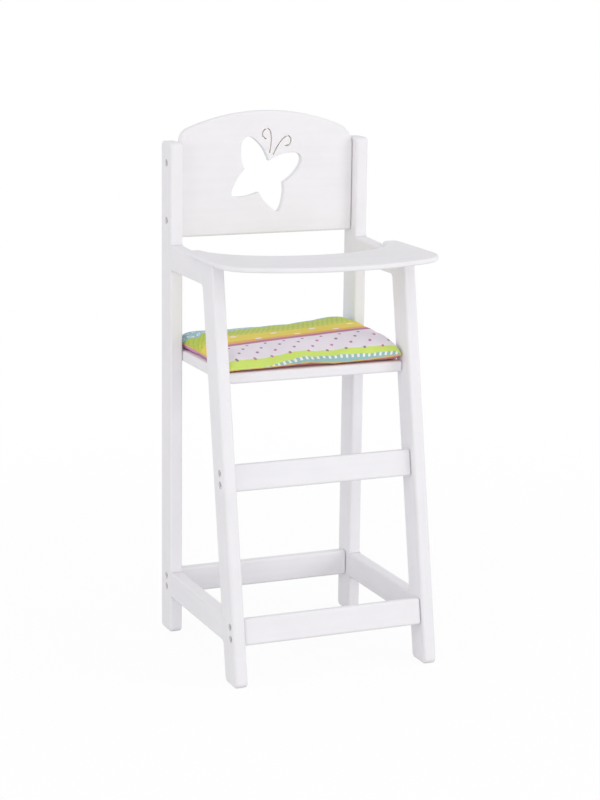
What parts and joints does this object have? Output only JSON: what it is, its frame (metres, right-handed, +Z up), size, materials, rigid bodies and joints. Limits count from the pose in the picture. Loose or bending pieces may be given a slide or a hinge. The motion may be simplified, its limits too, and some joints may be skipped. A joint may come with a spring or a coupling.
{
  "type": "doll high chair",
  "caption": "Doll's high chair of white painted boards: arched back with a butterfly cut-out, fixed tray, footrest, leaning front legs and a loose striped seat cushion",
  "frame": {"origin": "on the floor, under the middle of the chair's bounding box", "axes": "+Z up, the chair faces -Y, and +X is to the right of someone who looks at its front"},
  "size_m": [0.252, 0.252, 0.5908],
  "materials": {
    "white_paint": "matt white paint over sanded boards",
    "bare_wood": "unpainted beech dowels, hidden in the joints",
    "screw_steel": "dark plated steel screws with a hexagon socket, sunk in round recesses",
    "printed_cloth": "woven cotton printed with coloured stripes and small dots, softly filled"
  },
  "bodies": {
    "chair": {"backrest_panel": "white_paint", "footrest": "white_paint", "front_rail": "white_paint", "left_armrest": "white_paint", "left_armrest_front_lower_dowel": "bare_wood", "left_armrest_front_upper_dowel": "bare_wood", "left_armrest_rear_lower_dowel": "bare_wood", "left_armrest_rear_upper_dowel": "bare_wood", "left_front_leg": "white_paint", "left_lower_backrest_screw": "screw_steel", "left_lower_footrest_screw": "screw_steel", "left_lower_front_rail_screw": "screw_steel", "left_lower_rear_rail_screw": "screw_steel", "left_rear_post": "white_paint", "left_seat_front_dowel": "bare_wood", "left_seat_rear_dowel": "bare_wood", "left_side_rail": "white_paint", "left_side_rail_front_lower_dowel": "bare_wood", "left_side_rail_front_upper_dowel": "bare_wood", "left_side_rail_rear_lower_dowel": "bare_wood", "left_side_rail_rear_upper_dowel": "bare_wood", "left_tray_front_dowel": "bare_wood", "left_tray_rear_dowel": "bare_wood", "left_upper_backrest_screw": "screw_steel", "left_upper_footrest_screw": "screw_steel", "left_upper_front_rail_screw": "screw_steel", "left_upper_rear_rail_screw": "screw_steel", "rear_rail": "white_paint", "right_armrest": "white_paint", "right_armrest_front_lower_dowel": "bare_wood", "right_armrest_front_upper_dowel": "bare_wood", "right_armrest_rear_lower_dowel": "bare_wood", "right_armrest_rear_upper_dowel": "bare_wood", "right_front_leg": "white_paint", "right_lower_backrest_screw": "screw_steel", "right_lower_footrest_screw": "screw_steel", "right_lower_front_rail_screw": "screw_steel", "right_lower_rear_rail_screw": "screw_steel", "right_rear_post": "white_paint", "right_seat_front_dowel": "bare_wood", "right_seat_rear_dowel": "bare_wood", "right_side_rail": "white_paint", "right_side_rail_front_lower_dowel": "bare_wood", "right_side_rail_front_upper_dowel": "bare_wood", "right_side_rail_rear_lower_dowel": "bare_wood", "right_side_rail_rear_upper_dowel": "bare_wood", "right_tray_front_dowel": "bare_wood", "right_tray_rear_dowel": "bare_wood", "right_upper_backrest_screw": "screw_steel", "right_upper_footrest_screw": "screw_steel", "right_upper_front_rail_screw": "screw_steel", "right_upper_rear_rail_screw": "screw_steel", "seat_board": "white_paint", "tray": "white_paint"},
    "cushion": {"seat_cushion": "printed_cloth"}
  },
  "joints": [
    {"name": "cushion_pull_out", "type": "slide", "parent": "chair", "child": "cushion", "axis": [0, -1, 0], "range_m": [0, 0.25]}
  ]
}
